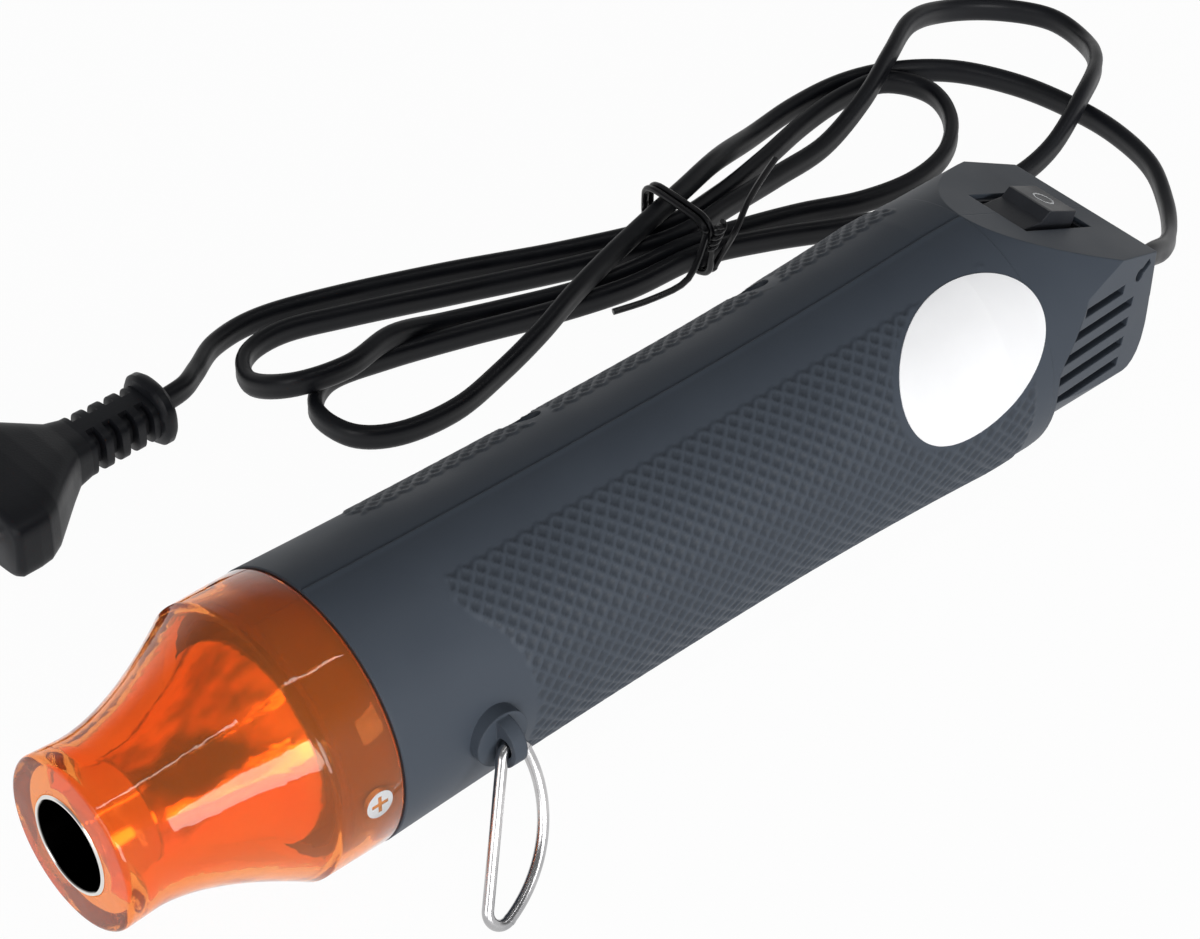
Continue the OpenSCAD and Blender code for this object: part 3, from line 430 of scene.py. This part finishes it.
def shroudProfile(look):
    # from the bore over the rounded lip and back along the outside, then forward on the inside
    full, rear, lip, bore = look["full"], look["rear"], look["lip"], look["bore"]
    bare = full - look["wall"]
    shoulder = look["flareEnd"] - 0.1
    lipRadius = look["neck"] + look["proud"] - lip
    lipAngle = np.radians(np.linspace(-90, 0, 9))
    profile = [[bore, look["front"]]]
    profile += [[lipRadius + lip * math.cos(t), look["front"] + lip + lip * math.sin(t)] for t in lipAngle]
    profile += [[float(flareRadius(x)), x] for x in np.arange(7, shoulder, look["step"])]
    profile += [[full - 0.02, shoulder], [full, shoulder + 0.5], [full, look["middle"]],
        [full, rear - 0.5], [full - 0.15, rear - 0.15], [full - 0.5, rear]]
    profile += [[bare + 0.2, rear], [bare, rear - 0.2], [bare, look["middle"]], [bare, shoulder + 1]]
    profile += [[float(flareRadius(x)) - look["wall"], x + look["innerShift"]]
        for x in np.arange(shoulder - 0.2, 6, -look["step"])]
    return profile + [[13.1, 5.6], [12.6, 4.6], [9.4, 3.4], [bore, 3.0]]  # the mouth's back


def tintedPlastic(name, look):
    # clear coloured plastic: light bends through it, with faint flow marks in the surface
    mat = makeFinish(name, look)
    shader = mat.node_tree.nodes["Principled BSDF"]
    shader.inputs["Transmission Weight"].default_value = look["clear"]
    shader.inputs["IOR"].default_value = look["bend"]
    return mat


clearShroud = turnedForm("clearShroud", shroudProfile(shroudLook), sides=192, sharp=50)
orangeClear = tintedPlastic("orangeClear", {"clear": 0.88, "bend": 1.34, "color": (1.0, 0.29, 0.05),
    "color2": (1.0, 0.37, 0.08), "rough": (0.015, 0.05), "cloud": 40, "grain": 120, "bump": 0.22,
    "depth": 0.0008, "set": {"Specular IOR Level": 0.9}})
wear(clearShroud, orangeClear, "handle")
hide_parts("nozzle_shroud")

# heat shield: a cone that opens into a sleeve, with a flange round it
tubeLook = {"bore": 8.1, "outside": 8.9, "rim": 0.2, "bevel": 0.25, "rear": 17, "borePaintedShade": 0.04}
shieldLook = {"radius": 17.7, "sheet": 0.6, "front": 11, "neck": 17, "belly": 28, "shoulder": 34,
    "rear": 62, "flange": 20.1, "flangeFrom": 50.55, "flangeTo": 52.25}


def shieldProfile(look):
    # the outside from the tube to the rear, then the inside, one sheet further in
    seat, radius, sheet = tubeLook["outside"] + 0.05, look["radius"], look["sheet"]
    return [[seat, look["front"]], [seat + sheet, look["front"]], [seat + 0.95, look["neck"]],
        [radius * 0.8, look["belly"]], [radius - 0.15, look["shoulder"] - 0.4],
        [radius, look["shoulder"]], [radius, look["flangeFrom"]],
        [look["flange"], look["flangeFrom"]], [look["flange"], look["flangeTo"]],
        [radius, look["flangeTo"]], [radius, look["rear"]], [radius - sheet, look["rear"]],
        [radius - sheet, look["shoulder"] + 0.4], [radius * 0.8 - sheet, look["belly"] + 0.4],
        [seat, look["neck"] + 1]]


heatShield = turnedForm("heatShieldSkin", shieldProfile(shieldLook), sides=160, sharp=25)
# painted reflections: broad noise mottles the steel from near black to bright yellow, standing in for the
# dark patches and yellow highlights that the shield reflects
shieldSteel = makeFinish("shieldSteel", {"color": (0.02, 0.012, 0.01), "color2": (1.0, 0.86, 0.5),
    "ramp": (0.42, 0.51), "rough": (0.10, 0.22), "cloud": 42, "stretch": (0.55, 1, 1), "grain": 130,
    "bump": 0.5, "depth": 0.0012, "set": metal})
wear(heatShield, shieldSteel, "handle")
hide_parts("heat_shield")

# outlet tube
tubeProfile = [[tubeLook["bore"], tubeLook["bevel"]], [tubeLook["bore"] + tubeLook["rim"], 0],
    [tubeLook["outside"] - tubeLook["rim"], 0], [tubeLook["outside"], tubeLook["bevel"]],
    [tubeLook["outside"], tubeLook["rear"]], [tubeLook["bore"], tubeLook["rear"]]]
outletTube = turnedForm("outletTubeSkin", tubeProfile, sides=128, sharp=30)


def pastRadius(tree):
    # the distance from the handle's axis, as 0 inside the tube's bore and 1 past its rim
    offAxis = objectPlace(tree, (0, 1, 1), (0, -handleOrigin[1], -handleOrigin[2]))
    length = tree.nodes.new("ShaderNodeVectorMath")
    length.operation = "LENGTH"
    tree.links.new(offAxis, length.inputs[0])
    inBore, pastRim = tubeLook["bore"] + 0.05, tubeLook["bore"] + tubeLook["rim"]
    step = mapRange(tree, length.outputs["Value"], inBore / 1000, pastRim / 1000, 0, 1)
    return step.outputs["Result"]


outletSteel = makeFinish("outletSteel", {"color": (0.72, 0.70, 0.67), "color2": (0.80, 0.78, 0.75),
    "rough": (0.12, 0.25), "cloud": 200, "stretch": (0.15, 1, 1), "grain": 900, "bump": 0.1,
    "set": metal})
# painted shade: inside the bore the steel's colour is darkened almost to black, and past the rim it keeps
# its own colour
shadeBy(outletSteel, pastRadius, tubeLook["borePaintedShade"], 1.0)
wear(outletTube, outletSteel, "handle")
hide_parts("nozzle_tube")
print("stage: shroud, shield and tube")

# grip skins
gripLook = {"waist": 23.4, "full": 25.0, "waistX": 131.0, "barrelFrom": 47.4, "barrelTo": 185,
    "front": 47.55, "rear": 194.5, "columns": 344, "rows": 170, "tuck": 0.05, "mean": 24.2,
    "seamAngle": 89.6, "tuckAngle": 89.75, "line": 2.3, "lineHalf": 0.34, "lineFoot": 0.18,
    "lineFlank": 0.3, "lineHeight": 0.28, "lift": 0.09, "fade": 0.5, "topEdge": 66.0,
    "rearEdge": 190.0, "borderAngle": [-66, -30, -10, 2, 16, 26, 37, 47, 56, 68],
    "borderX": [70, 74, 75.5, 75.6, 74.9, 74.3, 72.2, 68.9, 67.3, 68.6],
    "seamLip": {-1: 0.14, 1: -0.05}, "seamWidth": 0.85, "seamFlank": 0.35, "dark": 0.68,
    "bright": 1.02}  # the near half, side -1, has a slight raised lip along the seam
labelLook = {"x": 178.3, "angle": 34.5, "lean": 16, "halfLength": 17.6, "halfWidth": 12.6,
    "radius": 24.9, "margin": 1.08}
holeLook = {"stations": (107, 160), "height": 17.6, "radius": 2.75, "margin": 1.2, "reach": 0.3}


def barrelRadius(x):
    # a shallow curve with its least radius at the waist and the full one at both ends
    look = gripLook
    span = np.where(x < look["waistX"], look["waistX"] - look["barrelFrom"],
        look["barrelTo"] - look["waistX"])
    t = np.minimum(1, np.abs(x - look["waistX"]) / span)
    return look["waist"] + (look["full"] - look["waist"]) * t * t


def labelEdge(station, angle):
    # the distance past an oval a little larger than the label, which leans on the barrel
    look = labelLook
    across, up = station - look["x"], np.radians(angle - look["angle"]) * look["radius"]
    cosine, sine = math.cos(math.radians(look["lean"])), math.sin(math.radians(look["lean"]))
    reach = np.hypot((across * cosine + up * sine) / look["halfLength"],
        (up * cosine - across * sine) / look["halfWidth"])
    return (reach - look["margin"]) * look["halfWidth"]


def ridgeShare(station, angle):
    # 1 on two families of thin lines that cross at right angles on the unrolled barrel
    look = gripLook
    arc = np.radians(angle) * look["mean"]
    ridge = 0
    for way in ((station + arc) / math.sqrt(2), (station - arc) / math.sqrt(2)):
        off = np.abs(np.mod(way, look["line"]) - look["line"] / 2)
        ridge = np.maximum(ridge, ease((look["lineHalf"] + look["lineFoot"] - off) / look["lineFlank"]))
    return ridge


def gripSkin(name, side, holes, labelled):
    # the barrel's surface as a function of station and angle, raised by the ridges inside the
    # pattern's border; inside is the distance from that border
    look = gripLook
    stations = np.concatenate([[look["front"] - look["tuck"]], np.linspace(look["front"],
        look["rear"], look["columns"]), [look["rear"] + look["tuck"]]])
    angles = np.concatenate([[-look["tuckAngle"]], np.linspace(-look["seamAngle"],
        look["seamAngle"], look["rows"]), [look["tuckAngle"]]])
    x, angle = np.meshgrid(stations, angles, indexing="ij")
    inside = np.minimum.reduce([x - np.interp(angle, look["borderAngle"], look["borderX"]),
        look["rearEdge"] - x, np.radians(look["topEdge"] - np.abs(angle)) * look["mean"]])
    if labelled:
        inside = np.minimum(inside, labelEdge(x, angle))
    for holeX, holeZ in holes:
        away = np.hypot(x - holeX, barrelRadius(x) * np.sin(np.radians(angle)) - holeZ)
        inside = np.minimum(inside, away - holeLook["radius"] - holeLook["margin"])
    ridge, within = ridgeShare(x, angle), ease(inside / look["fade"])
    height = look["lift"] + look["lineHeight"] * ridge * within
    toSeam = (90 - np.abs(angle)) * math.pi / 180 * look["mean"]
    height = height + look["seamLip"][side] * ease((look["seamWidth"] - toSeam) / look["seamFlank"])
    height[[0, -1], :] = -look["tuck"]  # the rim dips under the shell
    height[:, [0, -1]] = -look["tuck"]
    radius = barrelRadius(x) + height
    y, z = side * radius * np.cos(np.radians(angle)), radius * np.sin(np.radians(angle))
    keep = np.ones((x.shape[0] - 1, x.shape[1] - 1), bool)
    for holeX, holeZ in holes:  # points by a hole move to its edge, and faces inside it go
        away = np.hypot(x - holeX, z - holeZ)
        near, gone = away < holeLook["radius"] + holeLook["reach"], away < holeLook["radius"]
        fit = np.where(near, holeLook["radius"] / np.maximum(away, 1e-6), 1)
        x, z = holeX + (x - holeX) * fit, holeZ + (z - holeZ) * fit
        y = np.where(near, side * np.sqrt(np.maximum(radius * radius - z * z, 0)), y)
        keep &= ~(gone[:-1, :-1] & gone[1:, :-1] & gone[:-1, 1:] & gone[1:, 1:])
    skin = gridMesh(name, toRow(np.stack([x, y, z], -1)), keep=keep, flip=side > 0, sharp=60)
    cellShade = 1 - within * (1 - ridge)  # painted shade: 0 in the low squares, 1 on the ridges and the plain parts
    skin.data.attributes.new("knurlShadeTone", "FLOAT", "POINT").data.foreach_set("value",
        cellShade.astype(np.float32).ravel())
    return skin


def knurlShadeTone(tree):
    # the painted shade tone that gripSkin keeps at each point
    cellShade = tree.nodes.new("ShaderNodeAttribute")
    cellShade.attribute_name = "knurlShadeTone"
    return cellShade.outputs["Fac"]


screwHoles = [(x, up * holeLook["height"]) for x in holeLook["stations"] for up in (-1, 1)]
gripNear = gripSkin("gripNear", -1, [], labelled=True)
gripFar = gripSkin("gripFar", 1, screwHoles, labelled=False)
shellLook = {"color": (0.044, 0.054, 0.070), "color2": (0.050, 0.061, 0.078),
    "rough": (0.46, 0.58), "cloud": 45, "grain": 3200, "bump": 0.22, "depth": 0.00006,
    "edge": 0.0004, "set": {"Specular IOR Level": 0.24}}
shellPlastic = makeFinish("shellPlastic", shellLook)
gripPlastic = makeFinish("gripPlastic", shellLook)
# painted shade: the low squares between the knurl's ridges are darkened, while the ridges and the plain
# parts keep about the plain colour
shadeBy(gripPlastic, knurlShadeTone, gripLook["dark"], gripLook["bright"])
wear(gripNear, gripPlastic, "handle")
wear(gripFar, gripPlastic, "handle")
dress(shellPlastic, "left_shell", "right_shell")
print("stage: grip skins")

# label
labelPaper = makeFinish("labelPaper", {"color": (0.87, 0.87, 0.88), "color2": (0.92, 0.92, 0.93),
    "rough": (0.28, 0.4), "cloud": 80, "grain": 700, "bump": 0.06})
dress(labelPaper, "rating_label")

# switch: the mark is a low ring on the rocker's rear face
rockerLook = {"x": 213.0, "panelX": 195, "panelZ": 24.9, "slope": 24.0, "tilt": 10.0, "pivot": 3.2,
    "ridge": 2.6, "face": 12.0}
markLook = {"x": 3.5, "radius": 2.0, "width": 0.45, "height": 0.06, "oval": 0.8, "sides": 64}


def slopeOf(angle):
    # the rise over the run
    return math.tan(math.radians(angle))


def onRocker(points):
    # rocker coordinates: x back along the key, z up from its pivot
    look = rockerLook
    p = turnY(points, -look["tilt"]) - [0, 0, look["pivot"]]
    panelDrop = (look["x"] - look["panelX"]) * slopeOf(look["slope"])
    return turnY(p, look["slope"]) + [look["x"], 0, look["panelZ"] - panelDrop]


def ringMark(name, look):
    # four rings: the outer two lie on the face and the inner two stand up from it
    turn = np.linspace(0, 2 * math.pi, look["sides"], endpoint=False)
    radii = (look["radius"] + np.array([-0.5, -0.3, 0.3, 0.5]) * look["width"])[:, None]
    x = look["x"] + radii * np.cos(turn) * look["oval"]
    lift = np.array([0, 1, 1, 0])[:, None] * look["height"]
    z = rockerLook["pivot"] + rockerLook["ridge"] - x * slopeOf(rockerLook["face"]) + lift
    return gridMesh(name, toRow(onRocker(np.stack([x, radii * np.sin(turn), z], -1))), aroundV=True)


offMark = ringMark("offMark", markLook)
markWhite = makeFinish("markWhite", {"color": (0.78, 0.79, 0.80), "rough": (0.35, 0.5), "cloud": 400})
wear(offMark, markWhite, "rocker")
switchPlastic = makeFinish("switchPlastic", {"color": (0.022, 0.024, 0.029), "color2": (0.03, 0.032, 0.038),
    "rough": (0.36, 0.5), "cloud": 120, "grain": 2600, "bump": 0.25, "edge": 0.0003,
    "set": {"Specular IOR Level": 0.25}})
dress(switchPlastic, "rocker", "switch_housing")
print("stage: switch")

# metal and inner parts: the finish, and the nodes that wear it
smallParts = {
    "ringSteel": ({"color": (0.36, 0.36, 0.37), "color2": (0.62, 0.61, 0.61), "rough": (0.16, 0.28),
        "cloud": 110, "grain": 1500, "bump": 0.08, "set": metal}, ["hanging_ring"]),
    "brightSteel": ({"color": (0.70, 0.71, 0.72), "color2": (0.78, 0.78, 0.79), "rough": (0.14, 0.24),
        "cloud": 150, "grain": 1500, "bump": 0.08, "set": metal},
        ["shroud_screws", "plug_pins", "motor_shaft"]),
    "darkSteel": ({"color": (0.16, 0.16, 0.17), "rough": (0.3, 0.45), "cloud": 200, "grain": 1500,
        "bump": 0.1, "set": metal}, ["housing_screws", "clamp_screws"]),
    "micaSheet": ({"color": (0.50, 0.44, 0.26), "color2": (0.62, 0.55, 0.35), "rough": (0.25, 0.5),
        "cloud": 90, "grain": 400, "bump": 0.3, "depth": 0.0002}, ["mica_sleeve", "mica_cross"]),
    "heatWire": ({"color": (0.24, 0.20, 0.18), "color2": (0.34, 0.30, 0.27), "rough": (0.25, 0.4),
        "cloud": 150, "set": metal}, ["heater_coil"]),
    "ceramicBody": ({"color": (0.62, 0.58, 0.50), "rough": (0.5, 0.7), "cloud": 150},
        ["thermal_cutout"]),
    "fanPlastic": ({"color": (0.03, 0.032, 0.038), "rough": (0.35, 0.5), "cloud": 90},
        ["fan_impeller"]),
    "motorCan": ({"color": (0.42, 0.43, 0.45), "color2": (0.52, 0.53, 0.54), "rough": (0.2, 0.35),
        "cloud": 120, "stretch": (1, 0.2, 0.2), "set": metal}, ["fan_motor"]),
    "innerPlastic": ({"color": (0.06, 0.063, 0.07), "rough": (0.5, 0.65), "cloud": 90},
        ["motor_mount", "cord_clamp"]),
    "boardLaminate": ({"color": (0.05, 0.14, 0.05), "color2": (0.07, 0.18, 0.06),
        "rough": (0.3, 0.45), "cloud": 300}, ["circuit_board"]),
    "blackResin": ({"color": (0.01, 0.01, 0.012), "rough": (0.2, 0.35), "cloud": 200},
        ["rectifier_diodes"]),
    "amberFilm": ({"color": (0.36, 0.16, 0.02), "rough": (0.15, 0.3), "cloud": 200}, ["capacitor"]),
    "redSleeve": ({"color": (0.30, 0.02, 0.012), "rough": (0.3, 0.45), "cloud": 200},
        ["lead_wires"]),
    "brassTab": ({"color": (0.56, 0.38, 0.12), "rough": (0.2, 0.35), "cloud": 200, "set": metal},
        ["switch_terminals"])}
for name, (look, worn) in smallParts.items():
    dress(makeFinish(name, look), *worn)
dress(cordRubber, "cord_bush")
print("stage: small parts")

# floor and background
stageLook = {"reach": 3.0, "drop": 0.0004, "floor": (0.82, 0.82, 0.83), "glow": 0.97,
    "air": (0.92, 0.96, 1.0), "ambient": 0.12, "ceiling": 0.25, "horizon": 0.1, "overhead": 0.6}


def whiteRays(tree):
    # 1 for rays of the camera and through clear plastic, and 1 for these and mirror images
    rays = tree.nodes.new("ShaderNodeLightPath").outputs
    direct = mathNode(tree, "MAXIMUM", rays["Is Camera Ray"], rays["Is Transmission Ray"])
    return direct, mathNode(tree, "MAXIMUM", direct, rays["Is Glossy Ray"])


def shaderNode(tree, kind, color, strength=None):
    # a plain shader of one colour
    node = tree.nodes.new(kind)
    node.inputs["Color"].default_value = (*color, 1)
    if strength is not None:
        node.inputs["Strength"].default_value = strength
    return node


def mixedOutput(tree, kind, share, first, second):
    # the first shader where share is 0 and the second where it is 1
    blend = tree.nodes.new("ShaderNodeMixShader")
    for socket, source in zip(blend.inputs, (share, first.outputs[0], second.outputs[0])):
        tree.links.new(source, socket)
    tree.links.new(blend.outputs[0], tree.nodes.new(kind).inputs["Surface"])


reach, drop = stageLook["reach"], stageLook["drop"]
floor = gridMesh("floorSheet", np.array([[[-reach, -reach, -drop], [-reach, reach, -drop]],
    [[reach, -reach, -drop], [reach, reach, -drop]]]))
floorPaint = bpy.data.materials.new("floorPaint")
floorPaint.use_nodes = True
tree = floorPaint.node_tree
tree.nodes.clear()
paint = shaderNode(tree, "ShaderNodeBsdfDiffuse", stageLook["floor"])
glow = shaderNode(tree, "ShaderNodeEmission", (1, 1, 1))
share = mathNode(tree, "MULTIPLY", whiteRays(tree)[1], stageLook["glow"])
mixedOutput(tree, "ShaderNodeOutputMaterial", share, paint, glow)
floor.data.materials.append(floorPaint)

# mirror images see a dim ceiling over a white horizon
world = bpy.data.worlds.new("studioWorld")
world.use_nodes = True
bpy.context.scene.world = world
tree = world.node_tree
tree.nodes.clear()
soft = shaderNode(tree, "ShaderNodeBackground", stageLook["air"], stageLook["ambient"])
white = shaderNode(tree, "ShaderNodeBackground", (1, 1, 1), 1.0)
direct, share = whiteRays(tree)
mixedOutput(tree, "ShaderNodeOutputWorld", share, soft, white)
ways = tree.nodes.new("ShaderNodeTexCoord")
parts = tree.nodes.new("ShaderNodeSeparateXYZ")
tree.links.new(ways.outputs["Generated"], parts.inputs[0])
ceiling = mapRange(tree, parts.outputs["Z"], stageLook["horizon"], stageLook["overhead"], 1.0,
    stageLook["ceiling"])
ceiling.interpolation_type = "SMOOTHSTEP"
tree.links.new(mathNode(tree, "MAXIMUM", ceiling.outputs["Result"], direct), white.inputs["Strength"])

# lamps: where each soft box stands and aims in the row frame, its width and height, and its power
lampLooks = {
    "keyBox": {"stand": (-0.3, -1.0, 0.26), "aim": (0, 0, 0.02), "size": (0.9, 0.4), "power": 10.8},
    "fillBox": {"stand": (-0.9, -0.2, 0.3), "aim": (0, 0, 0.02), "size": (0.5, 0.4), "power": 2.0},
    "stripBox": {"stand": (0.1, -0.25, 0.75), "aim": (0.1, -0.02, 0.03), "size": (1.1, 0.025),
        "power": 0.9}}
for name, look in lampLooks.items():
    lampData = bpy.data.lights.new(name, "AREA")
    lampData.shape = "RECTANGLE"
    lampData.size, lampData.size_y = look["size"]
    lampData.energy = look["power"]
    back = unitRows(np.array(look["stand"], float) - np.array(look["aim"], float))
    side = unitRows(np.cross([0, 0, 1.0], back))
    standAt(bpy.data.objects.new(name, lampData), side, np.cross(back, side), back, look["stand"])
bpy.context.scene.view_settings.view_transform = "Standard"
print("stage: floor and light")
